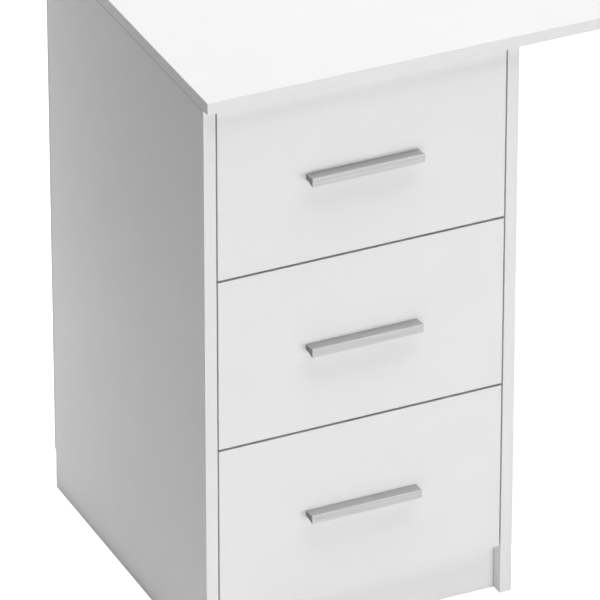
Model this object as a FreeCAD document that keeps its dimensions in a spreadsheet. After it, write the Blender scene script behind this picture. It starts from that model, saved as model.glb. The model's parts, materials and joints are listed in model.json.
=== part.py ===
import FreeCAD, Part

import math
import os
import re
import sys

import Sketcher

# Corner desk: an L-shaped worktop on a three-drawer pedestal, a right-hand gable and an end panel.
# Millimetres, +Z up, +X along the long wall. The user stands on the -Y side and the walls are at
# +Y and +X. The origin is on the floor, under the middle of the desk's outline.

doc = FreeCAD.newDocument("corner_desk")
sheet = doc.addObject("Spreadsheet::Sheet", "Sizes")

SIZES = [
    ("desk_width", 1450, "along the long wall"),
    ("desk_depth", 1000, "along the short wall"),
    ("desk_height", 760, "floor to the worktop's upper face"),
    ("board", 15, "melamine-faced board"),
    ("back_board", 3, "thin fibreboard of the pedestal back and the drawer bottoms"),
    ("side_depth", 450, "depth of every upright panel"),
    ("front_overhang", 12, "worktop in front of the upright panels"),
    ("pedestal_width", 400, "outside width of the drawer pedestal"),
    ("plinth_recess", 16.5, "plinth behind the front plane"),
    ("plinth_height", 65, "up to the upper face of the bottom board"),
    ("back_lift", 53, "lower edge of the pedestal back"),
    ("stretcher_depth", 80, "flat stretchers under the worktop"),
    ("apron_height", 200, "aprons that brace the open leg room"),
    ("front_lift", 67, "lower edge of the lowest drawer front"),
    ("front_gap", 3, "between fronts, and under the worktop"),
    ("front_side_gap", 2, "between a front and a side panel"),
    ("box_lift", 18, "drawer side above the lower edge of its front"),
    ("box_height", 140, "drawer sides"),
    ("box_length", 400, "drawer sides and runners"),
    ("groove_lift", 12, "drawer-bottom groove above the side's lower edge"),
    ("groove_height", 3.2, "drawer-bottom groove"),
    ("groove_depth", 6, "drawer-bottom groove"),
    ("groove_play", 0.5, "drawer bottom short of each groove's floor"),
    ("bar_length", 143, "handle"),
    ("bar_depth", 17.5, "handle, out from the drawer front"),
    ("bar_height", 11, "handle's outer face"),
    ("bar_neck", 7, "handle where it meets the drawer front"),
    ("bar_lip", 1.2, "straight edge behind the handle's outer face"),
    ("bar_hollow", 0.76, "share of its depth that a hollow has halfway along"),
    ("bar_centres", 128, "handle screw spacing"),
    ("runner_space", 12.5, "between a drawer side and the pedestal side"),
    ("runner_setback", 17, "cabinet runner behind the front plane"),
    ("steel", 1.2, "runner sheet"),
    ("channel_height", 25.4, "cabinet runner"),
    ("channel_depth", 10, "cabinet runner"),
    ("ledge_lift", 21, "drawer runner's upper ledge above the channel's floor"),
    ("ledge_inset", 3.6, "drawer runner's ledge from the pedestal side"),
    ("foot_lift", 2, "drawer runner's lower flange above the channel's floor"),
    ("foot_width", 12, "drawer runner's lower flange under the drawer side"),
    ("roller_radius", 9, "runner rollers"),
    ("roller_width", 5.6, "runner rollers"),
    ("tread_ease", 0.6, "eased edges of a roller's tread"),
    ("roller_inset", 4, "roller from the pedestal side"),
    ("roller_setback", 14, "roller axis from its end of the runner"),
    ("cabinet_axis_lift", 11.7, "front roller's axis above the channel's floor"),
    ("drawer_axis_lift", 10.5, "rear roller's axis above the channel's floor"),
    ("pin_radius", 2, "roller pins"),
    ("pin_play", 0.05, "roller bore around its pin"),
    ("collar_radius", 3.2, "shoulder behind a roller"),
    ("rivet_radius", 3, "spread end of a roller pin"),
    ("side_play", 0.2, "roller to its shoulder and to the rivet"),
    ("rivet_height", 0.6, "spread end of a roller pin"),
    ("stop_height", 3, "stop tab in the cabinet runner"),
    ("stop_length", 2, "stop tab in the cabinet runner"),
    ("travel", 300, "drawer travel"),
    ("stop_play", 1, "stop tab to the rear roller, drawer fully out"),
    ("cam_setback", 24, "cam centre from the board's edge"),
    ("cam_radius", 7.5, "cam housing"),
    ("cam_depth", 12.5, "cam housing"),
    ("stud_radius", 2.5, "cam stud, both its thread and its shank"),
    ("stud_depth", 11, "cam stud's thread in the other board"),
    ("stud_neck", 1.6, "cam stud's waist"),
    ("stud_head", 3.2, "cam stud's head"),
    ("stud_waist", 3, "cam stud's waist along its length"),
    ("stud_taper", 0.5, "from the shank down to the waist"),
    ("stud_head_height", 3, "cam stud's head"),
    ("stud_head_drop", 0.5, "underside of the stud's head short of the cam's centre"),
    ("stud_room", 4, "edge bore round the cam stud"),
    ("mouth_reach", 4, "cam housing's mouth past the cam's centre"),
    ("mouth_inset", 0.4, "cam housing's mouth inside the edge bore, each side"),
    ("recess_width", 1.1, "screwdriver slots"),
    ("recess_reach", 4.4, "screwdriver slots"),
    ("recess_depth", 2, "screwdriver slots in a cam housing"),
    ("dowel_radius", 4, "wooden dowels"),
    ("dowel_length", 30, "wooden dowels"),
    ("dowel_chamfer", 1, "both ends of a dowel"),
    ("dowel_face_depth", 10, "dowel in the face of a board"),
    ("bore_play", 0.05, "round dowels, studs, housings and screws"),
    ("bore_spare", 0.5, "bore past the end of its dowel, stud or screw"),
    ("clear_play", 0.15, "screw in the board or plate that it holds"),
    ("bar_screw_play", 0.25, "handle screw in the drawer front"),
    ("head_rim", 0.25, "eased edge of a screw or nail head"),
    ("short_radius", 1.75, "short screw"),
    ("short_length", 12, "short screw under its head"),
    ("short_head", 3.4, "short screw"),
    ("short_head_height", 1.6, "short screw"),
    ("long_radius", 2, "long screw, and the handle's M4 screw"),
    ("long_length", 25, "long screw under its head"),
    ("long_head", 4, "long screw"),
    ("long_head_height", 2.2, "long screw"),
    ("bar_screw_length", 24, "handle screw under its head"),
    ("nail_radius", 0.7, "back-panel nail"),
    ("nail_length", 15, "back-panel nail under its head"),
    ("nail_head", 1.6, "back-panel nail"),
    ("nail_head_height", 0.6, "back-panel nail"),
    ("plate_length", 60, "steel joining plate"),
    ("plate_width", 30, "steel joining plate"),
    ("plate_thickness", 2, "steel joining plate"),
]

for row, (alias, number, meaning) in enumerate(SIZES, start=1):
    sheet.set(f"A{row}", alias)
    sheet.set(f"B{row}", str(number))
    sheet.setAlias(f"B{row}", alias)
    sheet.set(f"C{row}", meaning)
doc.recompute()

# Places that many pieces share, as formulas of the sheet's sizes.
LEFT = "(-desk_width / 2)"
RIGHT = "(desk_width / 2)"
BACK = "(desk_depth / 2)"
UNDER_TOP = "(desk_height - board)"
PANEL_BACK = f"({BACK} - back_board)"
PANEL_FRONT = f"({PANEL_BACK} - side_depth)"
TOP_FRONT = f"({PANEL_FRONT} - front_overhang)"
WING = "(front_overhang + side_depth + back_board)"
BAY_LEFT = f"({LEFT} + board)"
BAY_RIGHT = f"({LEFT} + pedestal_width - board)"
BAY_WIDTH = "(pedestal_width - 2 * board)"
PEDESTAL_RIGHT = f"({LEFT} + pedestal_width)"
GABLE = f"({RIGHT} - board)"
END_PANEL = f"(-{BACK} + front_overhang)"
END_INSIDE = f"({END_PANEL} + board)"
APRON = f"({PANEL_BACK} - board)"
APRON_LOW = f"({UNDER_TOP} - apron_height)"
FRONT_HEIGHT = f"(({UNDER_TOP} - front_lift - 3 * front_gap) / 3)"
BOX_FRONT = f"({PANEL_FRONT} + board)"
RUNNER_FRONT = f"({PANEL_FRONT} + runner_setback)"

# Places of fixings, in millimetres from a board's front, outer or lower edge.
BOTTOM_CAMS = (83, 383)
BOTTOM_DOWELS = (133, 333)
PLINTH_DOWELS = (18, 47)
RAIL_CAM = 22
RAIL_DOWEL = 60
RAIL_SCREW = 40
PANEL_TOP_CAMS = (63, 383)
PANEL_TOP_DOWELS = (113, 333)
END_TOP_CAMS = (65, 385)
END_TOP_DOWELS = (115, 335)
CABINET_RUNNER_SCREWS = (37, 197, 357)
DRAWER_RUNNER_SCREWS = (50, 200, 350)
BOX_FRONT_CAM = 70
BOX_FRONT_DOWELS = (35, 105)
BOX_BACK_CAM = 80
BOX_BACK_DOWELS = (40, 120)

# Places of fixings, as shares of a board's or a seam's length.
RAIL_SCREW_SHARES = (0.25, 0.75)
APRON_CAMS = (0.2, 0.8)
REAR_APRON_DOWELS = (0.2, 0.5, 0.8)
RETURN_APRON_DOWELS = (0.3, 0.8)
SEAM_PLATES = (0.22, 0.5, 0.78)
UPRIGHT_PLATES = (0.35, 0.65)
SEAM_DOWELS = (0.08, 0.36, 0.64, 0.92)
BACK_EDGE_NAILS = (0, 0.2, 0.4, 0.6, 0.8, 1)
BACK_CROSS_NAILS = (0.25, 0.5, 0.75)

# Shares of a screw's radius at its point and where its taper ends, and of its head's height.
SCREW_POINT = 0.2
SCREW_TAPER = 1.2
RECESS_SHARE = 0.7

DRAWERS = (1, 2, 3)
SIDES = ("left", "right")
X = FreeCAD.Vector(1, 0, 0)
Y = FreeCAD.Vector(0, 1, 0)
Z = FreeCAD.Vector(0, 0, 1)

nodes = []
bores = {}
fixings = {}


def formula(text):
    """The sheet's own spelling of a formula: every alias gets the sheet's name in front."""
    return re.sub(r"[a-z_]{3,}", lambda word: "Sizes." + word[0], str(text))


def value(text):
    return float(sheet.evalExpression(formula(text)))


def at(x, y, z):
    return FreeCAD.Vector(value(x), value(y), value(z))


def bind(thing, prop, text):
    thing.setExpression(prop, formula(text))


def keep(thing, label):
    """Marks a finished sub-part; its label names its node and its file."""
    thing.Label = label
    nodes.append(thing)
    return thing


# ---------------------------------------------------------------- shapes

def box(name, corner, extent):
    """A block from the formulas of its lowest corner and of its three sizes."""
    block = doc.addObject("Part::Box", name)
    for prop, text in zip(("Length", "Width", "Height"), extent):
        bind(block, prop, text)
    for axis, text in zip("xyz", corner):
        bind(block, f"Placement.Base.{axis}", text)
    return block


def cylinder(name, start, direction, radius, length):
    """A round bar from `start` along `direction`; radius and length are formulas."""
    bar = doc.addObject("Part::Cylinder", name)
    bind(bar, "Radius", radius)
    bind(bar, "Height", length)
    bar.Placement = FreeCAD.Placement(start, FreeCAD.Rotation(Z, direction))
    return bar


def fused(name, things):
    union = doc.addObject("Part::MultiFuse", name)
    union.Shapes = things
    return union


def cut(name, base, tool):
    rest = doc.addObject("Part::Cut", name)
    rest.Base = base
    rest.Tool = tool
    return rest


def bored(label, blank):
    """The blank less every hole that the joints have booked for it."""
    holes = bores.get(label, [])
    if not holes:
        return keep(blank, label)
    tool = holes[0] if len(holes) == 1 else fused(f"{label}_holes", holes)
    return keep(cut(f"{label}_bored", blank, tool), label)


def board(label, corner, extent):
    return bored(label, box(f"{label}_blank", corner, extent))


def sketch_in(body, plane):
    """An empty sketch on one of the body's own origin planes."""
    support = next(f for f in body.Origin.OriginFeatures if f.Role == plane)
    sketch = body.newObject("Sketcher::SketchObject", f"{body.Name}_sketch")
    sketch.AttachmentSupport = [(support, "")]
    sketch.MapMode = "FlatFace"
    return sketch


def hold(sketch, edge, end, across, up):
    """Fixes a sketch point by the formulas of its distances from the sketch's axes."""
    for kind, axis, text in (("DistanceX", -2, across), ("DistanceY", -1, up)):
        if value(text) == 0:
            sketch.addConstraint(Sketcher.Constraint("PointOnObject", edge, end, axis))
            continue
        index = sketch.addConstraint(Sketcher.Constraint(kind, -1, 1, edge, end, value(text)))
        bind(sketch, f"Constraints[{index}]", text)


def arc_through(start, middle, stop):
    """Arc of a circle through three points of the sketch, running anticlockwise."""
    circle = Part.Arc(start, middle, stop).toShape().Curve
    circle = Part.Circle(circle.Center, Z, circle.Radius)
    first, last = circle.parameter(start), circle.parameter(stop)
    inside = circle.parameter(middle)
    if not (inside - first) % (2 * math.pi) < (last - first) % (2 * math.pi):
        first, last = last, first
    return Part.ArcOfCircle(circle, first, last)


def outline(sketch, corners, arcs=()):
    """A closed outline of straight sides. `arcs` lists the sides that are arcs instead: side
    number, first coordinate of the arc's centre, and a point that the arc passes close to."""
    points = [FreeCAD.Vector(value(u), value(v), 0) for u, v in corners]
    bends = {side: (centre, near) for side, centre, near in arcs}
    ends = []
    for side, start in enumerate(points):
        stop = points[(side + 1) % len(points)]
        if side not in bends:
            sketch.addGeometry(Part.LineSegment(start, stop), False)
            ends.append((1, 2))
            continue
        centre, (u, v) = bends[side]
        arc = arc_through(start, FreeCAD.Vector(value(u), value(v), 0), stop)
        sketch.addGeometry(arc, False)
        forwards = arc.StartPoint.distanceToPoint(start) < arc.EndPoint.distanceToPoint(start)
        ends.append((1, 2) if forwards else (2, 1))
        index = sketch.addConstraint(
            Sketcher.Constraint("DistanceX", -1, 1, side, 3, arc.Center.x)
        )
        bind(sketch, f"Constraints[{index}]", centre)
    for side in range(len(points)):
        following = (side + 1) % len(points)
        sketch.addConstraint(
            Sketcher.Constraint("Coincident", side, ends[side][1], following, ends[following][0])
        )
    for side, (u, v) in enumerate(corners):
        hold(sketch, side, ends[side][0], u, v)


def extrusion(name, plane, corners, length, reverse=False, arcs=()):
    body = doc.addObject("PartDesign::Body", name)
    sketch = sketch_in(body, plane)
    outline(sketch, corners, arcs)
    pad = body.newObject("PartDesign::Pad", f"{name}_pad")
    pad.Profile = sketch
    pad.Reversed = reverse
    bind(pad, "Length", length)
    return body


def turned(name, corners):
    """A round piece about +Z; the corners are pairs of radius and height."""
    body = doc.addObject("PartDesign::Body", name)
    sketch = sketch_in(body, "XZ_Plane")
    outline(sketch, corners)
    spin = body.newObject("PartDesign::Revolution", f"{name}_turned")
    spin.Profile = sketch
    spin.ReferenceAxis = (sketch, ["V_Axis"])
    spin.Angle = 360
    return body


def group(label, pieces):
    """Loose pieces that share a node: copies of the masters, one solid for each place."""
    doc.recompute()
    copies = [master.Shape.transformed(place.toMatrix(), True) for master, place in pieces]
    cluster = doc.addObject("Part::Feature", label)
    cluster.Shape = Part.makeCompound(copies)
    cluster.Placement = FreeCAD.Placement()
    return keep(cluster, label)


# ---------------------------------------------------------------- masters of the small pieces

def cam_stud():
    """Thread below the joint's plane, shank, waist, and the head that the cam pulls."""
    head = "(stud_depth + cam_setback - stud_head_drop)"
    return turned("cam_stud", [
        ("0", "0"),
        ("stud_radius", "0"),
        ("stud_radius", f"{head} - stud_waist - stud_taper"),
        ("stud_neck", f"{head} - stud_waist"),
        ("stud_neck", head),
        ("stud_head", head),
        ("stud_head", f"{head} + stud_head_height"),
        ("0", f"{head} + stud_head_height"),
    ])


def cross_recess(name, depth):
    """Two crossed slots for a screwdriver, cut down from z = 0."""
    start = "-recess_reach / 2"
    edge = "-recess_width / 2"
    sunk = f"-{depth}"
    slots = [
        box(f"{name}_slot_x", (start, edge, sunk), ("recess_reach", "recess_width", depth)),
        box(f"{name}_slot_y", (edge, start, sunk), ("recess_width", "recess_reach", depth)),
    ]
    return fused(f"{name}_recess", slots)


def cam_housing():
    """A disc with its face at z = 0, a driver recess, and a side mouth for the stud's head."""
    disc = cylinder("cam_disc", at(0, 0, "-cam_depth"), Z, "cam_radius", "cam_depth")
    half = "(stud_room - mouth_inset)"
    mouth = box(
        "cam_mouth",
        ("-mouth_reach", f"-{half}", f"-board / 2 - {half}"),
        ("cam_radius + mouth_reach", f"2 * {half}", f"2 * {half}"),
    )
    tools = fused("cam_openings", [mouth, cross_recess("cam", "recess_depth")])
    return cut("cam_housing", disc, tools)


def dowel():
    return turned("dowel", [
        ("0", "0"),
        ("dowel_radius - dowel_chamfer", "0"),
        ("dowel_radius", "dowel_chamfer"),
        ("dowel_radius", "dowel_length - dowel_chamfer"),
        ("dowel_radius - dowel_chamfer", "dowel_length"),
        ("0", "dowel_length"),
    ])


def screw(name, radius, length, head, head_height, driven=True):
    """Tip at z = 0, underside of the head at z = length."""
    blank = turned(name, [
        ("0", "0"),
        (f"{radius} * {SCREW_POINT}", "0"),
        (radius, f"{radius} * {SCREW_TAPER}"),
        (radius, length),
        (head, length),
        (head, f"{length} + {head_height} - head_rim"),
        (f"{head} - head_rim", f"{length} + {head_height}"),
        ("0", f"{length} + {head_height}"),
    ])
    if not driven:
        return blank
    recess = cross_recess(name, f"({head_height} * {RECESS_SHARE})")
    bind(recess, "Placement.Base.z", f"{length} + {head_height}")
    return cut(f"{name}_driven", blank, recess)


def roller():
    """Nylon roller, along +Z from z = 0, with eased tread edges."""
    bore = "(pin_radius + pin_play)"
    return turned("roller", [
        (bore, "0"),
        ("roller_radius - tread_ease", "0"),
        ("roller_radius", "tread_ease"),
        ("roller_radius", "roller_width - tread_ease"),
        ("roller_radius - tread_ease", "roller_width"),
        (bore, "roller_width"),
    ])


MASTERS = {
    "cam_stud": cam_stud(),
    "cam_housing": cam_housing(),
    "dowel": dowel(),
    "short_screw": screw(
        "short_screw", "short_radius", "short_length", "short_head", "short_head_height"
    ),
    "long_screw": screw("long_screw", "long_radius", "long_length", "long_head", "long_head_height"),
    "bar_screw": screw(
        "bar_screw", "long_radius", "bar_screw_length", "long_head", "long_head_height"
    ),
    "nail": screw("nail", "nail_radius", "nail_length", "nail_head", "nail_head_height", False),
    "roller": roller(),
}


# ---------------------------------------------------------------- joints between boards

def book(label, start, direction, radius, length):
    """Books a round hole in the named sub-part."""
    name = f"{label}_hole_{len(bores.get(label, [])) + 1}"
    bores.setdefault(label, []).append(cylinder(name, start, direction, radius, length))


def place(owner, master, base, axis, across=None):
    """Books one small piece for the node `owner`, with its +Z along `axis`."""
    if across is None:
        turn = FreeCAD.Rotation(Z, axis)
    else:
        turn = FreeCAD.Rotation(across, FreeCAD.Vector(), axis, "ZXY")
    fixings.setdefault(owner, []).append((MASTERS[master], FreeCAD.Placement(base, turn)))


def cam_joint(face_board, edge_board, point, into, open_side, owners):
    """A stud in one board's face pulls the other board's edge tight. `into` points from the
    joint's plane into the edge board, whose cam is let in from its `open_side`."""
    stud_owner, cam_owner = owners
    place(stud_owner, "cam_stud", point - into * value("stud_depth"), into)
    book(face_board, point, -into, "stud_radius + bore_play", "stud_depth + bore_spare")
    book(edge_board, point, into, "stud_room", "cam_setback")
    mouth = point + into * value("cam_setback") + open_side * value("board / 2")
    place(cam_owner, "cam_housing", mouth, open_side, -into)
    book(edge_board, mouth, -open_side, "cam_radius + bore_play", "cam_depth + bore_spare")


def dowel_joint(face_board, edge_board, point, into, owner):
    place(owner, "dowel", point - into * value("dowel_face_depth"), into)
    radius = "dowel_radius + bore_play"
    book(face_board, point, -into, radius, "dowel_face_depth + bore_spare")
    book(edge_board, point, into, radius, "dowel_length - dowel_face_depth + bore_spare")


def screw_joint(owner, kind, plate, plate_thickness, base_board, point, into):
    """A screw with its head on the outer face of `plate` at `point`, driven along `into`."""
    size = {"short_screw": "short", "long_screw": "long"}[kind]
    place(owner, kind, point + into * value(f"{size}_length"), -into)
    clear = f"{size}_radius + clear_play"
    book(plate, point, into, clear, plate_thickness)
    book(
        base_board,
        point + into * value(plate_thickness),
        into,
        f"{size}_radius + bore_play",
        f"{size}_length - {plate_thickness} + bore_spare",
    )


ROOT_CAMS = ("cam_studs", "cam_housings")


def join_pedestal():
    """Bottom board, plinth and stretchers between the two sides, and the sides to the worktop."""
    low = "(plinth_height - board / 2)"
    high = f"({UNDER_TOP} - board / 2)"
    plinth_y = f"{PANEL_FRONT} + plinth_recess + board / 2"
    stretchers = {
        "front_stretcher": f"({PANEL_FRONT} + runner_setback)",
        "rear_stretcher": f"({PANEL_BACK} - stretcher_depth)",
    }
    for side, face, into in (("left", BAY_LEFT, X), ("right", BAY_RIGHT, -X)):
        panel = f"pedestal_side_{side}"
        for setback in BOTTOM_CAMS:
            spot = at(face, f"{PANEL_FRONT} + {setback}", low)
            cam_joint(panel, "pedestal_bottom", spot, into, -Z, ROOT_CAMS)
        for setback in BOTTOM_DOWELS:
            spot = at(face, f"{PANEL_FRONT} + {setback}", low)
            dowel_joint(panel, "pedestal_bottom", spot, into, "dowels")
        for lift in PLINTH_DOWELS:
            dowel_joint(panel, "plinth", at(face, plinth_y, lift), into, "dowels")
        for rail, start in stretchers.items():
            cam_joint(panel, rail, at(face, f"{start} + {RAIL_CAM}", high), into, -Z, ROOT_CAMS)
            dowel_joint(panel, rail, at(face, f"{start} + {RAIL_DOWEL}", high), into, "dowels")
        middle = f"{face} {'-' if side == 'left' else '+'} board / 2"
        for setback in PANEL_TOP_DOWELS:
            spot = at(middle, f"{PANEL_FRONT} + {setback}", UNDER_TOP)
            dowel_joint("worktop_main", panel, spot, -Z, "dowels")
    for rail, start in stretchers.items():
        for share in RAIL_SCREW_SHARES:
            along = f"{BAY_LEFT} + {BAY_WIDTH} * {share}"
            spot = at(along, f"{start} + {RAIL_SCREW}", f"{UNDER_TOP} - board")
            screw_joint("worktop_screws", "long_screw", rail, "board", "worktop_main", spot, Z)


def join_uprights():
    """Gable and end panel to the worktop boards over them."""
    for setback in PANEL_TOP_CAMS:
        spot = at(f"{GABLE} + board / 2", f"{PANEL_FRONT} + {setback}", UNDER_TOP)
        cam_joint("worktop_main", "gable", spot, -Z, -X, ROOT_CAMS)
    for setback in PANEL_TOP_DOWELS:
        spot = at(f"{GABLE} + board / 2", f"{PANEL_FRONT} + {setback}", UNDER_TOP)
        dowel_joint("worktop_main", "gable", spot, -Z, "dowels")
    for inset in END_TOP_CAMS:
        spot = at(f"{RIGHT} - {inset}", f"{END_PANEL} + board / 2", UNDER_TOP)
        cam_joint("worktop_return", "end_panel", spot, -Z, Y, ROOT_CAMS)
    for inset in END_TOP_DOWELS:
        spot = at(f"{RIGHT} - {inset}", f"{END_PANEL} + board / 2", UNDER_TOP)
        dowel_joint("worktop_return", "end_panel", spot, -Z, "dowels")


def join_aprons():
    """Rear apron from the pedestal to the gable, return apron from the gable to the end panel."""
    rear_y = f"{APRON} + board / 2"
    side_x = f"{GABLE} + board / 2"
    ends = (("pedestal_side_right", PEDESTAL_RIGHT, X), ("gable", GABLE, -X))
    for share in APRON_CAMS:
        height = f"{APRON_LOW} + apron_height * {share}"
        for panel, face, into in ends:
            cam_joint(panel, "rear_apron", at(face, rear_y, height), into, Y, ROOT_CAMS)
        spot = at(side_x, END_INSIDE, height)
        cam_joint("end_panel", "return_apron", spot, Y, -X, ROOT_CAMS)
        dowel_joint("gable", "return_apron", at(side_x, PANEL_FRONT, height), -Y, "dowels")
    middle = f"{APRON_LOW} + apron_height / 2"
    for panel, face, into in ends:
        dowel_joint(panel, "rear_apron", at(face, rear_y, middle), into, "dowels")
    dowel_joint("end_panel", "return_apron", at(side_x, END_INSIDE, middle), Y, "dowels")
    for share in REAR_APRON_DOWELS:
        along = f"{PEDESTAL_RIGHT} + ({GABLE} - {PEDESTAL_RIGHT}) * {share}"
        dowel_joint("worktop_main", "rear_apron", at(along, rear_y, UNDER_TOP), -Z, "dowels")
    for share in RETURN_APRON_DOWELS:
        along = f"{END_INSIDE} + ({TOP_FRONT} - {END_INSIDE}) * {share}"
        dowel_joint("worktop_return", "return_apron", at(side_x, along, UNDER_TOP), -Z, "dowels")


def plate_centres():
    """Under the worktop's seam, then on the seam between gable and return apron."""
    seam = [
        (at(f"{RIGHT} - {WING} * {share}", TOP_FRONT, UNDER_TOP), X, Z)
        for share in SEAM_PLATES
    ]
    upright = [
        (at(GABLE, PANEL_FRONT, f"{APRON_LOW} + apron_height * {share}"), Z, X)
        for share in UPRIGHT_PLATES
    ]
    return seam + upright


def join_seams():
    """Dowels along the worktop's seam, and two screws through each half of every plate."""
    for share in SEAM_DOWELS:
        spot = at(f"{RIGHT} - {WING} * {share}", TOP_FRONT, "desk_height - board / 2")
        dowel_joint("worktop_main", "worktop_return", spot, -Y, "dowels")
    for centre, across, into in plate_centres():
        boards = ("worktop_return", "worktop_main") if into == Z else ("return_apron", "gable")
        for half, base_board in zip((-1, 1), boards):
            for step in (-1, 1):
                spot = centre + Y * (half * value("plate_length / 3"))
                spot = spot + across * (step * value("plate_width / 4"))
                spot = spot - into * value("plate_thickness")
                screw_joint(
                    "short_screws", "short_screw", "joining_plates", "plate_thickness",
                    base_board, spot, into,
                )


# ---------------------------------------------------------------- boards of the desk

def desk_boards():
    board("worktop_main", (LEFT, TOP_FRONT, UNDER_TOP), ("desk_width", WING, "board"))
    board(
        "worktop_return",
        (f"{RIGHT} - {WING}", f"-{BACK}", UNDER_TOP),
        (WING, f"desk_depth - {WING}", "board"),
    )
    upright = ("board", "side_depth", UNDER_TOP)
    board("pedestal_side_left", (LEFT, PANEL_FRONT, 0), upright)
    board("pedestal_side_right", (BAY_RIGHT, PANEL_FRONT, 0), upright)
    board("gable", (GABLE, PANEL_FRONT, 0), upright)
    board("end_panel", (f"{RIGHT} - side_depth", END_PANEL, 0), ("side_depth", "board", UNDER_TOP))
    plinth_front = f"({PANEL_FRONT} + plinth_recess)"
    board("plinth", (BAY_LEFT, plinth_front, 0), (BAY_WIDTH, "board", "plinth_height"))
    board(
        "pedestal_bottom",
        (BAY_LEFT, f"{plinth_front} + board", "plinth_height - board"),
        (BAY_WIDTH, "side_depth - plinth_recess - board", "board"),
    )
    rail = (BAY_WIDTH, "stretcher_depth", "board")
    rail_low = f"{UNDER_TOP} - board"
    board("front_stretcher", (BAY_LEFT, RUNNER_FRONT, rail_low), rail)
    board("rear_stretcher", (BAY_LEFT, f"{PANEL_BACK} - stretcher_depth", rail_low), rail)
    board(
        "pedestal_back",
        (LEFT, PANEL_BACK, "back_lift"),
        ("pedestal_width", "back_board", f"{UNDER_TOP} - back_lift"),
    )
    board(
        "rear_apron",
        (PEDESTAL_RIGHT, APRON, APRON_LOW),
        (f"{GABLE} - {PEDESTAL_RIGHT}", "board", "apron_height"),
    )
    board(
        "return_apron",
        (GABLE, END_INSIDE, APRON_LOW),
        ("board", f"{PANEL_FRONT} - {END_INSIDE}", "apron_height"),
    )


def joining_plates():
    """Flat steel plates, three under the worktop's seam and two on the gable's inner face."""
    plates = []
    for number, (centre, across, into) in enumerate(plate_centres(), start=1):
        half = across * value("plate_width / 2") + Y * value("plate_length / 2")
        corner = centre - half - into * value("plate_thickness")
        extent = ("plate_width", "plate_length", "plate_thickness")
        if into == X:
            extent = ("plate_thickness", "plate_length", "plate_width")
        plates.append(box(f"joining_plate_{number}", tuple(corner), extent))
    bored("joining_plates", fused("joining_plate_blanks", plates))


def back_nails():
    """Nails through the pedestal back into the sides, the bottom board and the rear stretcher,
    with their heads flush with the back."""
    surface = f"{BACK} - nail_length - nail_head_height"
    low = "plinth_height - board / 3"
    high = f"{UNDER_TOP} - board / 2"
    spots = [
        (f"{face} {sign} board / 2", f"{low} + ({high} - {low}) * {share}")
        for face, sign in ((LEFT, "+"), (PEDESTAL_RIGHT, "-"))
        for share in BACK_EDGE_NAILS
    ]
    spots += [
        (f"{LEFT} + pedestal_width * {share}", height)
        for share in BACK_CROSS_NAILS
        for height in (low, high)
    ]
    for across, height in spots:
        place("back_nails", "nail", at(across, surface, height), Y)


# ---------------------------------------------------------------- drawers and their runners

def front_low(number):
    """Lower edge of a drawer's front; drawer 1 is at the top."""
    return f"(front_lift + (3 - {number}) * ({FRONT_HEIGHT} + front_gap))"


def box_low(number):
    return f"({front_low(number)} + box_lift)"


def channel_low(number):
    return f"({box_low(number)} - foot_lift - steel)"


def across_bay(side, start, width):
    """Lowest X of something that begins `start` in from the pedestal's side panel."""
    if side == "left":
        return f"({BAY_LEFT} + ({start}))"
    return f"({BAY_RIGHT} - ({start}) - ({width}))"


def inward(side):
    return X if side == "left" else -X


def from_panel(side, distance):
    """X at a distance in from the pedestal's side panel."""
    if side == "left":
        return f"({BAY_LEFT} + ({distance}))"
    return f"({BAY_RIGHT} - ({distance}))"


def runner_bar(name, side, corners, low, front):
    """A folded-sheet profile laid along Y. Its corners count inwards from the side panel, and
    half a turn about Z makes the right-hand one."""
    bar = extrusion(name, "XZ_Plane", corners, "box_length", reverse=True)
    turn = 0 if side == "left" else 180
    bar.Placement = FreeCAD.Placement(FreeCAD.Vector(), FreeCAD.Rotation(Z, turn))
    bind(bar, "Placement.Base.x", BAY_LEFT if side == "left" else BAY_RIGHT)
    bind(bar, "Placement.Base.y", front if side == "left" else f"{front} + box_length")
    bind(bar, "Placement.Base.z", low)
    return bar


def roller_pin(name, side, y, z, shoulder_from, shoulder_to, rivet_from):
    """Shoulder, pin and spread end, as steps across the bay in from the side panel."""
    steps = (
        ("shoulder", shoulder_from, shoulder_to, "collar_radius"),
        ("pin", shoulder_to, rivet_from, "pin_radius"),
        ("rivet", rivet_from, f"{rivet_from} + rivet_height", "rivet_radius"),
    )
    if value(rivet_from) < value(shoulder_from):
        steps = (
            ("shoulder", shoulder_to, shoulder_from, "collar_radius"),
            ("pin", rivet_from, shoulder_to, "pin_radius"),
            ("rivet", f"{rivet_from} - rivet_height", rivet_from, "rivet_radius"),
        )
    return [
        cylinder(
            f"{name}_{part}", at(from_panel(side, near), y, z), inward(side), radius,
            f"{far} - ({near})",
        )
        for part, near, far, radius in steps
    ]


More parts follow.
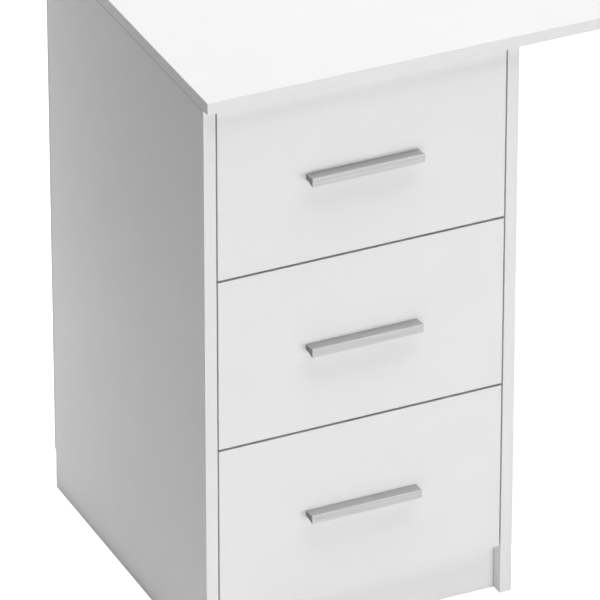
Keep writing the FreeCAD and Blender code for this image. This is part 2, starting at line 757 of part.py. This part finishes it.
def cabinet_runner(number, side):
    """Channel on the pedestal side, with the front roller's pin and the stop tab."""
    label = f"cabinet_runner_{number}_{side}"
    panel = f"pedestal_side_{side}"
    low = channel_low(number)
    channel = runner_bar(f"{label}_channel", side, [
        ("0", "0"),
        ("channel_depth", "0"),
        ("channel_depth", "steel"),
        ("steel", "steel"),
        ("steel", "channel_height - steel"),
        ("channel_depth", "channel_height - steel"),
        ("channel_depth", "channel_height"),
        ("0", "channel_height"),
    ], low, RUNNER_FRONT)
    pin = roller_pin(
        label, side, f"{RUNNER_FRONT} + roller_setback", f"{low} + cabinet_axis_lift",
        "steel", "roller_inset - side_play", "roller_inset + roller_width + side_play",
    )
    over_tab = "(drawer_axis_lift - steel - stop_height)"
    roller_reach = f"((roller_radius ^ 2 - {over_tab} ^ 2) ^ 0.5)"
    roller_out = f"{BOX_FRONT} + box_length - roller_setback - travel - {roller_reach}"
    tab = box(
        f"{label}_stop",
        (
            across_bay(side, "steel", "channel_depth - steel"),
            f"{roller_out} - stop_play - stop_length",
            f"{low} + steel",
        ),
        ("channel_depth - steel", "stop_length", "stop_height"),
    )
    height = f"{low} + channel_height / 2"
    for hole in CABINET_RUNNER_SCREWS:
        spot = at(from_panel(side, "steel"), f"{RUNNER_FRONT} + {hole}", height)
        screw_joint("short_screws", "short_screw", label, "steel", panel, spot, -inward(side))
    return label, fused(f"{label}_blank", [channel, tab, *pin])


def drawer_runner(number, side):
    """Z-shaped member under the drawer side, with the rear roller's pin."""
    label = f"drawer_{number}_runner_{side}"
    low = channel_low(number)
    web = "(runner_space - steel)"
    ledge = "(ledge_lift + steel)"
    member = runner_bar(f"{label}_member", side, [
        (web, "foot_lift"),
        ("runner_space + foot_width", "foot_lift"),
        ("runner_space + foot_width", "foot_lift + steel"),
        ("runner_space", "foot_lift + steel"),
        ("runner_space", ledge),
        ("ledge_inset", ledge),
        ("ledge_inset", "ledge_lift"),
        (web, "ledge_lift"),
    ], low, BOX_FRONT)
    pin = roller_pin(
        label, side, f"{BOX_FRONT} + box_length - roller_setback", f"{low} + drawer_axis_lift",
        web, "roller_inset + roller_width + side_play", "roller_inset - side_play",
    )
    across = from_panel(side, "runner_space + foot_width / 2")
    for hole in DRAWER_RUNNER_SCREWS:
        spot = at(across, f"{BOX_FRONT} + {hole}", f"{low} + foot_lift")
        screw_joint(
            f"drawer_{number}_fixings", "short_screw", label, "steel",
            f"drawer_{number}_side_{side}", spot, Z,
        )
    return label, fused(f"{label}_blank", [member, *pin])


def roller_pair(label, y, z):
    """One roller on each side, on a common axis across the pedestal."""
    for side in SIDES:
        spot = at(across_bay(side, "roller_inset", "roller_width"), y, z)
        place(label, "roller", spot, X)


def join_drawer(number):
    """Front to sides, and sides to back, each with a cam and two dowels."""
    name = f"drawer_{number}"
    owner = f"{name}_fixings"
    low = box_low(number)
    back_y = f"{BOX_FRONT} + box_length - board / 2"
    for side in SIDES:
        panel = f"{name}_side_{side}"
        middle = from_panel(side, "runner_space + board / 2")
        inner = from_panel(side, "runner_space + board")
        into = inward(side)
        spot = at(middle, BOX_FRONT, f"{low} + {BOX_FRONT_CAM}")
        cam_joint(f"{name}_front", panel, spot, Y, into, (owner, owner))
        spot = at(inner, back_y, f"{low} + {BOX_BACK_CAM}")
        cam_joint(panel, f"{name}_back", spot, into, Y, (owner, owner))
        for lift in BOX_FRONT_DOWELS:
            spot = at(middle, BOX_FRONT, f"{low} + {lift}")
            dowel_joint(f"{name}_front", panel, spot, Y, owner)
        for lift in BOX_BACK_DOWELS:
            dowel_joint(panel, f"{name}_back", at(inner, back_y, f"{low} + {lift}"), into, owner)


def grooved(label, blank, groove_corner, groove_extent):
    groove = box(f"{label}_groove", groove_corner, groove_extent)
    return bored(label, cut(f"{label}_grooved", blank, groove))


def drawer_front(number):
    label = f"drawer_{number}_front"
    width = f"({BAY_WIDTH} - 2 * front_side_gap)"
    blank = box(
        f"{label}_blank",
        (f"{BAY_LEFT} + front_side_gap", PANEL_FRONT, front_low(number)),
        (width, "board", FRONT_HEIGHT),
    )
    inset = "(runner_space + board - groove_depth)"
    grooved(
        label, blank,
        (f"{BAY_LEFT} + {inset}", f"{BOX_FRONT} - groove_depth", f"{box_low(number)} + groove_lift"),
        (f"{BAY_WIDTH} - 2 * {inset}", "groove_depth", "groove_height"),
    )


def drawer_side(number, side):
    label = f"drawer_{number}_side_{side}"
    blank = box(
        f"{label}_blank",
        (across_bay(side, "runner_space", "board"), BOX_FRONT, box_low(number)),
        ("board", "box_length", "box_height"),
    )
    start = across_bay(side, "(runner_space + board - groove_depth)", "groove_depth")
    grooved(
        label, blank,
        (start, BOX_FRONT, f"{box_low(number)} + groove_lift"),
        ("groove_depth", "box_length", "groove_height"),
    )


def drawer_back(number):
    inset = "(runner_space + board)"
    sill = "(groove_lift + groove_height)"
    board(
        f"drawer_{number}_back",
        (f"{BAY_LEFT} + {inset}", f"{BOX_FRONT} + box_length - board", f"{box_low(number)} + {sill}"),
        (f"{BAY_WIDTH} - 2 * {inset}", "board", f"box_height - {sill}"),
    )


def drawer_bottom(number):
    inset = "(runner_space + board - groove_depth + groove_play)"
    reach = "(groove_depth - groove_play)"
    lift = "(groove_lift + (groove_height - back_board) / 2)"
    board(
        f"drawer_{number}_bottom",
        (f"{BAY_LEFT} + {inset}", f"{BOX_FRONT} - {reach}", f"{box_low(number)} + {lift}"),
        (f"{BAY_WIDTH} - 2 * {inset}", f"box_length + {reach}", "back_board"),
    )


def drawer_handle(number):
    """Bar with hollow upper and lower faces, narrow at the drawer front and wide at its outer
    face, held by two machine screws from inside the drawer."""
    label = f"drawer_{number}_handle"
    middle_x = f"({BAY_LEFT} + {BAY_WIDTH} / 2)"
    middle_z = f"({front_low(number)} + {FRONT_HEIGHT} / 2)"
    step = "((bar_height - bar_neck) / 2)"
    halfway = "(bar_lip + bar_depth) / 2"
    hollow = f"{step} * bar_hollow"
    bar = extrusion(f"{label}_bar", "YZ_Plane", [
        ("0", "0"),
        ("bar_lip", "0"),
        ("bar_depth", step),
        ("bar_depth", f"bar_height - {step}"),
        ("bar_lip", "bar_height"),
        ("0", "bar_height"),
    ], "bar_length", arcs=[
        (1, "bar_depth", (halfway, hollow)),
        (3, "bar_depth", (halfway, f"bar_height - {hollow}")),
    ])
    bind(bar, "Placement.Base.x", f"{middle_x} - bar_length / 2")
    bind(bar, "Placement.Base.y", f"{PANEL_FRONT} - bar_depth")
    bind(bar, "Placement.Base.z", f"{middle_z} - bar_height / 2")
    grip = "(bar_screw_length - board)"
    for sign in ("-", "+"):
        x = f"{middle_x} {sign} bar_centres / 2"
        head = at(x, BOX_FRONT, middle_z)
        place(f"drawer_{number}_fixings", "bar_screw", head - Y * value("bar_screw_length"), Y)
        book(f"drawer_{number}_front", head, -Y, "long_radius + bar_screw_play", "board")
        end = at(x, PANEL_FRONT, middle_z)
        book(label, end, -Y, "long_radius + bore_play", f"{grip} + bore_spare")
    bored(label, bar)


def drawer(number):
    join_drawer(number)
    runners = [drawer_runner(number, side) for side in SIDES]
    drawer_handle(number)
    drawer_front(number)
    for side in SIDES:
        drawer_side(number, side)
    drawer_back(number)
    drawer_bottom(number)
    for label, blank in runners:
        bored(label, blank)
    low = channel_low(number)
    front_axis = f"{RUNNER_FRONT} + roller_setback"
    roller_pair(f"cabinet_rollers_{number}", front_axis, f"{low} + cabinet_axis_lift")
    rear_axis = f"{BOX_FRONT} + box_length - roller_setback"
    roller_pair(f"drawer_{number}_rollers", rear_axis, f"{low} + drawer_axis_lift")


def check_and_write():
    """Stops on any failed object or bad shape, then writes one STEP file for each sub-part."""
    doc.recompute()
    for thing in doc.Objects:
        if "Invalid" in thing.State or "Error" in thing.State:
            sys.exit(f"{thing.Label} did not rebuild: {thing.State}")
    os.makedirs("parts", exist_ok=True)
    for node in nodes:
        shape = node.Shape
        if shape.isNull() or not shape.isValid():
            sys.exit(f"{node.Label} has no valid shape")
        shape.exportStep(os.path.join("parts", f"{node.Label}.step"))
    print(f"{len(nodes)} sub-parts written")


join_pedestal()
join_uprights()
join_aprons()
join_seams()
cabinet_runners = [cabinet_runner(number, side) for number in DRAWERS for side in SIDES]
desk_boards()
joining_plates()
back_nails()
for cabinet_label, cabinet_blank in cabinet_runners:
    bored(cabinet_label, cabinet_blank)
for drawer_number in DRAWERS:
    drawer(drawer_number)
for group_label, group_pieces in fixings.items():
    group(group_label, group_pieces)
check_and_write()
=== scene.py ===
import json
import math

import bpy
from mathutils import Euler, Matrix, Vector


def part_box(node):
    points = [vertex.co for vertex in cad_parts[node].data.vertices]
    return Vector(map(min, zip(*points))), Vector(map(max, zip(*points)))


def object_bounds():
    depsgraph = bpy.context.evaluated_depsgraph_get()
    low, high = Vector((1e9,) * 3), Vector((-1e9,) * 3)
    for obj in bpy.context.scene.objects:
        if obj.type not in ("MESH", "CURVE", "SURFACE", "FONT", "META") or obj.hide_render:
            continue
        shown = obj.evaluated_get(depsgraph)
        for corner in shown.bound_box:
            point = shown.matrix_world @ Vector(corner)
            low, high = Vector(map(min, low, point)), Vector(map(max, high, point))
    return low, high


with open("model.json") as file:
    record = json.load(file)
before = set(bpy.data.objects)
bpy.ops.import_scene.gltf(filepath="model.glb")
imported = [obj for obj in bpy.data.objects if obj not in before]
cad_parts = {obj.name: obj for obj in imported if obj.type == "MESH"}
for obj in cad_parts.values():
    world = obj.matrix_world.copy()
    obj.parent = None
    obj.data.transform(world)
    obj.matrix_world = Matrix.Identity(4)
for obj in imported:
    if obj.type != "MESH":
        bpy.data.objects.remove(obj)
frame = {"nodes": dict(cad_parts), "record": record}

# Looks of the corner desk: materials and softened edges for the CAD boards and fittings, a pale
# floor, soft studio light and the camera. Metres, in the frame of the CAD model.

CAD_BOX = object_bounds()
NODES = frame["nodes"]
SLOT_OF = {part["node"]: part["material_slot"] for part in frame["record"]["subparts"]}
MM = 0.001


# ---------------------------------------------------------------- node-tree helpers

class Tree:
    """Adds nodes to a material's tree and links them, from left to right."""

    def __init__(self, name):
        self.material = bpy.data.materials.new(name)
        self.material.use_nodes = True
        self.nodes = self.material.node_tree.nodes
        self.links = self.material.node_tree.links
        self.shader = next(n for n in self.nodes if n.type == "BSDF_PRINCIPLED")

    def add(self, kind, **settings):
        node = self.nodes.new(kind)
        for key, setting in settings.items():
            setattr(node, key, setting)
        return node

    def plug(self, source, socket):
        """Feeds a socket from another node's output, or sets it to a plain number or colour."""
        if isinstance(source, bpy.types.NodeSocket):
            self.links.new(source, socket)
        else:
            socket.default_value = source

    def coordinates(self):
        return self.add("ShaderNodeTexCoord").outputs["Object"]

    def along(self, axis):
        """Object coordinate along one axis, 0 to 2."""
        split = self.add("ShaderNodeSeparateXYZ")
        self.links.new(self.coordinates(), split.inputs[0])
        return split.outputs[axis]

    def stretched(self, scale):
        """Object coordinates, multiplied by three numbers."""
        mapping = self.add("ShaderNodeMapping")
        self.links.new(self.coordinates(), mapping.inputs["Vector"])
        mapping.inputs["Scale"].default_value = scale
        return mapping.outputs["Vector"]

    def noise(self, size, detail=2.0, vector=None, roughness=0.5):
        """Noise from 0 to 1 whose features are about `size` metres across."""
        node = self.add("ShaderNodeTexNoise")
        self.links.new(vector or self.coordinates(), node.inputs["Vector"])
        node.inputs["Scale"].default_value = 1.0 / size
        node.inputs["Detail"].default_value = detail
        node.inputs["Roughness"].default_value = roughness
        return node.outputs["Fac"]

    def math(self, operation, first, second=0.0, third=0.0, clamp=False):
        node = self.add("ShaderNodeMath", operation=operation, use_clamp=clamp)
        for source, socket in zip((first, second, third), node.inputs):
            self.plug(source, socket)
        return node.outputs[0]

    def less(self, first, second):
        return self.math("SUBTRACT", first, second)

    def times(self, first, second):
        return self.math("MULTIPLY", first, second)

    def span(self, source, low, high, to_low, to_high):
        """Maps low..high to to_low..to_high, clamped."""
        node = self.add("ShaderNodeMapRange")
        for item, socket in zip((source, low, high, to_low, to_high), node.inputs):
            self.plug(item, socket)
        return node.outputs[0]

    def vary(self, noise, to_low=0.0, to_high=1.0, reach=0.2):
        """Maps a noise, from `reach` under its middle to `reach` over it, to two numbers."""
        return self.span(noise, 0.5 - reach, 0.5 + reach, to_low, to_high)

    def blend(self, share, first, second):
        """Colour between two colours."""
        node = self.add("ShaderNodeMix", data_type="RGBA")
        sockets = [s for s in node.inputs if s.type == "RGBA"]
        self.plug(share, node.inputs[0])
        self.plug(first, sockets[0])
        self.plug(second, sockets[1])
        return next(s for s in node.outputs if s.type == "RGBA")

    def bump(self, height, distance, normal=None):
        node = self.add("ShaderNodeBump")
        self.links.new(height, node.inputs["Height"])
        node.inputs["Strength"].default_value = 1.0
        node.inputs["Distance"].default_value = distance
        if normal:
            self.links.new(normal, node.inputs["Normal"])
        return node.outputs["Normal"]

    def finish(self, **sockets):
        for name, source in sockets.items():
            self.plug(source, self.shader.inputs[name.replace("_", " ")])
        return self.material


def grey(level, warmth=0.0):
    return (level * (1 + warmth), level, level * (1 - warmth), 1)


# ---------------------------------------------------------------- materials

BAND = 0.8 * MM             # edge band's thickness
BAND_JOINT = 0.12 * MM      # half the width of the hairline beside the band
SKIN = (0.6 * MM, 0.8 * MM)   # the white surface ends between these depths
JOINT_SHADE_REACH = (1.0 * MM, 2.0 * MM)   # painted shade thins out between these distances from a joint
DEEP, UP = 1, 2             # axis numbers: front to back, and up
# Boards whose high end along this axis meets a worktop board, with painted shade along the
# joint.
SHADED_JOINT_END = {"pedestal_side_left": UP, "gable": UP, "end_panel": UP, "worktop_return": DEEP}

MELAMINE_WHITE = 0.87
BAND_JOINT_GREY = grey(0.42, 0.02)
BAND_JOINT_SHARE = 0.5
# Grey and strength of the painted shade along the joints.
JOINT_SHADE_GREY = grey(0.40)
JOINT_SHADE_SHARE = 0.6
CHIPS = ((0.30, 0.20, 0.11, 1), (0.62, 0.47, 0.30, 1))


def depth_inside(tree, low, high, skip=()):
    """Distance in from the nearest face of a box, along every axis but those in `skip`."""
    nearest = None
    for axis in range(3):
        if axis in skip:
            continue
        place = tree.along(axis)
        for end in (tree.less(place, low[axis]), tree.less(high[axis], place)):
            nearest = end if nearest is None else tree.math("MINIMUM", nearest, end)
    return nearest


def thin_axis(low, high):
    """The axis across a board's thickness."""
    extent = high - low
    return min(range(3), key=lambda axis: extent[axis])


def joint_distance(tree, node, low, high):
    """Distance from the joint along which shade is painted, or None on a board without one."""
    if node in SHADED_JOINT_END:
        axis = SHADED_JOINT_END[node]
        return tree.less(high[axis], tree.along(axis))
    if node == "plinth":
        return depth_inside(tree, low, high, skip=(DEEP, UP))
    return None


def board_material(node):
    """White melamine on chipboard. The faces have a fine pearl texture, a band with a hairline
    joint runs round the edges, and the core shows inside bores and grooves. A dark line of
    painted shade lies along the joints of the worktop and at the plinth's ends."""
    low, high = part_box(node)
    tree = Tree(f"melamine_{node}")
    depth = depth_inside(tree, low, high)
    across = depth_inside(tree, low, high, skip=(thin_axis(low, high),))

    mottle = tree.noise(60 * MM, 3)
    face = tree.blend(tree.vary(mottle), grey(MELAMINE_WHITE), grey(MELAMINE_WHITE * 0.985))
    band = tree.span(across, 0.02 * MM, 0.1 * MM, 1, 0)
    face = tree.blend(band, face, grey(MELAMINE_WHITE * 0.975))
    hairline = tree.span(tree.math("ABSOLUTE", tree.less(across, BAND)), 0, BAND_JOINT, 1, 0)
    hairline = tree.times(hairline, tree.span(depth, 0.1 * MM, 0.3 * MM, 1, 0))
    face = tree.blend(tree.times(hairline, BAND_JOINT_SHARE), face, BAND_JOINT_GREY)
    from_joint = joint_distance(tree, node, low, high)
    if from_joint:
        # Painted shade: a grey line darkens the face next to the joint and fades out away from
        # it.
        face = tree.blend(tree.span(from_joint, *JOINT_SHADE_REACH, JOINT_SHADE_SHARE, 0), face, JOINT_SHADE_GREY)

    core = tree.span(depth, *SKIN, 0, 1)
    chips = tree.noise(2.2 * MM, 3, roughness=0.7)
    chip_colour = tree.blend(tree.vary(chips, reach=0.15), *CHIPS)

    wear = tree.noise(25 * MM, 4, roughness=0.6)
    gloss = tree.math("ADD", tree.vary(wear, 0.40, 0.48), tree.times(core, 0.45), clamp=True)

    pearl = tree.noise(0.9 * MM, 1)
    wave = tree.noise(16 * MM, 2)
    height = tree.math("ADD", tree.times(pearl, 0.5), tree.times(wave, 0.9))
    height = tree.less(height, tree.times(hairline, 2.0))
    height = tree.math("ADD", height, tree.times(tree.times(chips, core), 12.0))
    return tree.finish(
        Base_Color=tree.blend(core, face, chip_colour),
        Roughness=gloss,
        Normal=tree.bump(height, 0.02 * MM),
        IOR=1.5,
    )


def fibreboard_material(node):
    """White-faced thin fibreboard: smooth faces with a faint weave, fibrous edges."""
    low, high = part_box(node)
    tree = Tree(f"fibreboard_{node}")
    across = depth_inside(tree, low, high, skip=(thin_axis(low, high),))
    edge = tree.span(across, 0.02 * MM, 0.2 * MM, 1, 0)
    fibre = tree.noise(0.7 * MM, 3, roughness=0.7)
    mottle = tree.noise(40 * MM, 3)
    face = tree.blend(tree.vary(mottle), grey(0.80), grey(0.77, 0.004))
    rim = tree.blend(tree.vary(fibre), grey(0.60, 0.02), grey(0.72, 0.01))
    height = tree.math("ADD", fibre, tree.times(tree.noise(9 * MM), 0.8))
    return tree.finish(
        Base_Color=tree.blend(edge, face, rim),
        Roughness=tree.vary(fibre, 0.5, 0.62),
        Normal=tree.bump(height, 0.03 * MM),
    )


# Darkest and lightest grey of the bar's three faces: painted shade on the top and underside,
# painted light on the front and deeper painted shade on the sawn ends.
SIDE_SHADE_GREYS = (grey(0.46), grey(0.52))
FRONT_LIGHT_GREYS = (grey(0.70), grey(0.86))
END_SHADE_GREYS = (grey(0.20), grey(0.30))


def aluminium_material(node):
    """Satin anodised aluminium drawn along X: a brushed front, plainer sides and sawn ends.
    Painted light and shade: the front is coloured lightest, the top and underside darker and
    the ends darkest.
    """
    low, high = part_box(node)
    tree = Tree(f"aluminium_{node}")
    front = tree.span(tree.less(tree.along(DEEP), low.y), 0.4 * MM, 0.6 * MM, 1, 0)
    end = tree.span(depth_inside(tree, low, high, skip=(DEEP, UP)), 0.05 * MM, 0.15 * MM, 1, 0)
    lines = tree.noise(1.0, 3, tree.stretched((25, 4500, 4500)), 0.65)
    bands = tree.noise(1.0, 2, tree.stretched((6, 420, 420)))
    cloud = tree.noise(14 * MM, 2)
    tone = tree.math("ADD", tree.times(lines, 0.45), tree.times(bands, 0.55))
    tone = tree.vary(tone, reach=0.15)
    # Painted light on the front face, painted shade on the top, underside and ends.
    colour = tree.blend(front, tree.blend(tone, *SIDE_SHADE_GREYS), tree.blend(tone, *FRONT_LIGHT_GREYS))
    colour = tree.blend(end, colour, tree.blend(tree.noise(0.6 * MM), *END_SHADE_GREYS))
    rough = tree.math("ADD", tree.vary(lines, 0.30, 0.40), tree.times(cloud, 0.05))
    rough = tree.math("ADD", rough, tree.times(end, 0.15))
    return tree.finish(
        Base_Color=colour,
        Metallic=1.0,
        Roughness=rough,
        Normal=tree.bump(lines, 0.012 * MM),
    )


def painted_steel_material():
    """White epoxy powder coat with a fine orange peel."""
    tree = Tree("white_steel")
    peel = tree.noise(1.6 * MM, 2)
    dust = tree.noise(30 * MM, 3)
    colour = tree.blend(tree.vary(dust), grey(0.80), grey(0.76, 0.004))
    return tree.finish(
        Base_Color=colour,
        Roughness=tree.vary(dust, 0.28, 0.38),
        Normal=tree.bump(peel, 0.06 * MM),
    )


def zinc_material():
    """Bright zinc plating with a cloudy spangle and fine tool marks."""
    tree = Tree("zinc_steel")
    spangle = tree.noise(2.5 * MM, 3, roughness=0.6)
    marks = tree.noise(0.35 * MM, 2)
    colour = tree.blend(tree.vary(spangle), (0.56, 0.58, 0.60, 1), (0.72, 0.73, 0.74, 1))
    return tree.finish(
        Base_Color=colour,
        Metallic=1.0,
        Roughness=tree.vary(spangle, 0.24, 0.42),
        Normal=tree.bump(marks, 0.02 * MM),
    )


def nylon_material():
    """Moulded white nylon."""
    tree = Tree("nylon")
    grain = tree.noise(0.5 * MM, 2)
    tint = tree.noise(5 * MM, 2)
    colour = tree.blend(tree.vary(tint), grey(0.80, 0.01), grey(0.74, 0.02))
    return tree.finish(
        Base_Color=colour,
        Roughness=tree.vary(grain, 0.42, 0.55),
        Normal=tree.bump(grain, 0.02 * MM),
    )


BEECH = (0.62, 0.42, 0.25, 1)
BEECH_FLECK = (0.42, 0.26, 0.14, 1)
BEECH_PALE = (0.70, 0.52, 0.33, 1)


def beech_material():
    """Plain beech with short dark flecks and fine pores."""
    tree = Tree("beech")
    flecks = tree.noise(1.0, 3, tree.stretched((700, 700, 160)), 0.6)
    rings = tree.noise(3 * MM, 2)
    wood = tree.blend(tree.span(flecks, 0.35, 0.7, 0, 1), BEECH, BEECH_FLECK)
    colour = tree.blend(tree.vary(rings, 0, 0.4), wood, BEECH_PALE)
    return tree.finish(
        Base_Color=colour,
        Roughness=tree.vary(flecks, 0.6, 0.75),
        Normal=tree.bump(flecks, 0.05 * MM),
    )


SHARED = {
    "white_steel": painted_steel_material(),
    "zinc_steel": zinc_material(),
    "nylon": nylon_material(),
    "beech": beech_material(),
}
OWN = {
    "white_melamine": board_material,
    "thin_fibreboard": fibreboard_material,
    "satin_aluminium": aluminium_material,
}

# Width of the softened edges, by material and for the two worktop boards.
EASED = {
    "white_melamine": 0.35 * MM,
    "thin_fibreboard": 0.2 * MM,
    "satin_aluminium": 0.35 * MM,
    "white_steel": 0.2 * MM,
    "zinc_steel": 0.1 * MM,
    "nylon": 0.15 * MM,
    "beech": 0.15 * MM,
}
ROUNDED = {"worktop_main": 0.9 * MM, "worktop_return": 0.9 * MM}
SHARP_ANGLE = math.radians(35)
FLAT_ANGLE = math.radians(0.5)
WELD_REACH = 0.01 * MM


def normals_by_angle():
    """Geometry nodes that drop stored normals and keep edges over SHARP_ANGLE sharp."""
    tree = bpy.data.node_groups.new("normals_by_angle", "GeometryNodeTree")
    tree.interface.new_socket("Geometry", in_out="INPUT", socket_type="NodeSocketGeometry")
    tree.interface.new_socket("Geometry", in_out="OUTPUT", socket_type="NodeSocketGeometry")
    start = tree.nodes.new("NodeGroupInput")
    end = tree.nodes.new("NodeGroupOutput")
    angle = tree.nodes.new("GeometryNodeInputMeshEdgeAngle")
    sharp = tree.nodes.new("FunctionNodeCompare")
    sharp.inputs[1].default_value = SHARP_ANGLE
    setter = tree.nodes.new("GeometryNodeSetMeshNormal")
    tree.links.new(start.outputs[0], setter.inputs["Mesh"])
    tree.links.new(angle.outputs["Unsigned Angle"], sharp.inputs[0])
    tree.links.new(sharp.outputs[0], setter.inputs["Edge Sharpness"])
    tree.links.new(setter.outputs[0], end.inputs[0])
    return tree


def dress(node, normals):
    """Gives a CAD node its material and softens its edges by a fraction of a millimetre."""
    piece = NODES[node]
    slot = SLOT_OF[node]
    material = SHARED[slot] if slot in SHARED else OWN[slot](node)
    for place in piece.material_slots:
        place.link = "OBJECT"
        place.material = material
    weld = piece.modifiers.new("weld", "WELD")
    weld.merge_threshold = WELD_REACH
    flat = piece.modifiers.new("flat_faces", "DECIMATE")
    flat.decimate_type = "DISSOLVE"
    flat.angle_limit = FLAT_ANGLE
    shade = piece.modifiers.new("normals", "NODES")
    shade.node_group = normals
    ease = piece.modifiers.new("eased_edges", "BEVEL")
    ease.width = ROUNDED.get(node, EASED[slot])
    ease.segments = 3 if node in ROUNDED else 2
    ease.limit_method = "ANGLE"
    ease.angle_limit = SHARP_ANGLE
    ease.harden_normals = True


NORMALS = normals_by_angle()
for name in sorted(NODES):
    dress(name, NORMALS)


# ---------------------------------------------------------------- studio

FLOOR_RADIUS = 60.0
FLOOR_SIDES = 64
FLOOR_DROP = 0.2 * MM
SHOWN_WHITE = 0.94
BOUNCE_WHITE = 0.81
# The shown floor glows by these amounts near the desk and far away, between these distances.
NEAR_GLOW, FAR_GLOW = 0.68, 1.0
NEAR, FAR = 2.0, 6.0
SURROUND = 1.05

# Name, place, aim, width, height and power in watts of each soft light. The two floor lamps lie
# just above the floor beside the left side panel and aim up; the tiny offset of their aim only
# settles which way their long side runs.
LAMPS = (
    ("overhead", (0.0, 0.0, 4.5), (-0.4, 0.0, 0.0), 4.0, 4.0, 192),
    ("front", (-0.4, -5.0, 0.7), (-0.5, 0.0, 0.3), 5.0, 1.2, 94),
    ("front_low", (-0.3, -2.2, 0.35), (-0.5, 0.047, 0.3), 3.0, 0.7, 11),
    ("right", (5.0, 1.8, 1.4), (0.7, 0.1, 0.4), 3.2, 2.2, 50),
    ("rear_left", (-0.95, 0.95, 0.6), (-0.725, 0.45, 0.6), 0.2, 1.6, 2.45),
    ("floor_left", (-0.9, 0.35, 0.004), (-0.9, 0.3501, 1.0), 0.34, 1.2, 0.10),
    ("floor_left_rear", (-0.88, 0.45, 0.004), (-0.88, 0.4501, 1.0), 0.28, 1.0, 0.2),
)


def floor_disc(name, height, level, near_glow, far_glow):
    """A wide pale disc at the desk's foot."""
    steps = range(FLOOR_SIDES)
    angles = [2 * math.pi * step / FLOOR_SIDES for step in steps]
    corners = [
        (FLOOR_RADIUS * math.cos(a), FLOOR_RADIUS * math.sin(a), height) for a in angles
    ]
    mesh = bpy.data.meshes.new(name)
    mesh.from_pydata(corners, [], [list(steps)])
    disc = bpy.data.objects.new(name, mesh)
    bpy.context.scene.collection.objects.link(disc)
    tree = Tree(name)
    haze = tree.vary(tree.noise(0.8, 3))
    reach = tree.add("ShaderNodeVectorMath", operation="LENGTH")
    tree.links.new(tree.coordinates(), reach.inputs[0])
    disc.data.materials.append(tree.finish(
        Base_Color=tree.blend(haze, grey(level), grey(level * 0.98)),
        Roughness=0.9,
        Specular_IOR_Level=0.0,
        Emission_Color=(1, 1, 1, 1),
        Emission_Strength=tree.span(reach.outputs["Value"], NEAR, FAR, near_glow, far_glow),
    ))
    return disc


def make_floor():
    """The bright floor that shows, and the less bright one under it that lights the desk."""
    ground = CAD_BOX[0].z
    shown = floor_disc("floor", ground, SHOWN_WHITE, NEAR_GLOW, FAR_GLOW)
    shown.visible_diffuse = False
    shown.visible_glossy = False
    shown.visible_shadow = False
    bounce = floor_disc("floor_bounce", ground - FLOOR_DROP, BOUNCE_WHITE, 0.0, 0.0)
    bounce.visible_camera = False


def soft_light(name, place, aim, width, height, power):
    """An area light that the camera doesn't see. Only the overhead one shows in reflections."""
    lamp = bpy.data.lights.new(name, "AREA")
    lamp.shape = "RECTANGLE"
    lamp.size = width
    lamp.size_y = height
    lamp.energy = power
    holder = bpy.data.objects.new(name, lamp)
    holder.location = place
    holder.rotation_euler = (Vector(aim) - Vector(place)).to_track_quat("-Z", "Y").to_euler()
    holder.visible_camera = False
    holder.visible_glossy = name == "overhead"
    bpy.context.scene.collection.objects.link(holder)


def make_world():
    """A white surround for the camera and for reflections; the lamps do the lighting."""
    world = bpy.data.worlds.new("studio")
    world.use_nodes = True
    background = world.node_tree.nodes["Background"]
    background.inputs["Color"].default_value = (1, 1, 1, 1)
    background.inputs["Strength"].default_value = SURROUND
    bpy.context.scene.world = world
    world.cycles_visibility.diffuse = False


# The camera's aim is on the plane of the drawer fronts, at these shares of the pedestal's width
# and of its sides' height.
AIM_ACROSS = 0.302
AIM_UP = 0.630
YAW = 24.888            # degrees the camera is turned to the right
PITCH = 29.841          # degrees it looks down
DISTANCE = 8.737
FOCAL_LENGTH = 453.35   # millimetres, like the sensor's width
SENSOR_WIDTH = 36


def make_camera():
    left_low, left_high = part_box("pedestal_side_left")
    right_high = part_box("pedestal_side_right")[1]
    aim = Vector((
        left_low.x + AIM_ACROSS * (right_high.x - left_low.x),
        left_low.y,
        left_low.z + AIM_UP * (left_high.z - left_low.z),
    ))
    turn = Euler((math.radians(90 - PITCH), 0, math.radians(-YAW)))
    ahead = Vector((0, 0, -1))
    ahead.rotate(turn)
    data = bpy.data.cameras.new("camera")
    data.sensor_width = SENSOR_WIDTH
    data.lens = FOCAL_LENGTH
    data.clip_end = 200
    camera = bpy.data.objects.new("camera", data)
    camera.location = aim - ahead * DISTANCE
    camera.rotation_euler = turn
    bpy.context.scene.collection.objects.link(camera)
    bpy.context.scene.camera = camera


make_floor()
make_world()
for lamp in LAMPS:
    soft_light(*lamp)
make_camera()
bpy.context.scene.view_settings.view_transform = "Standard"
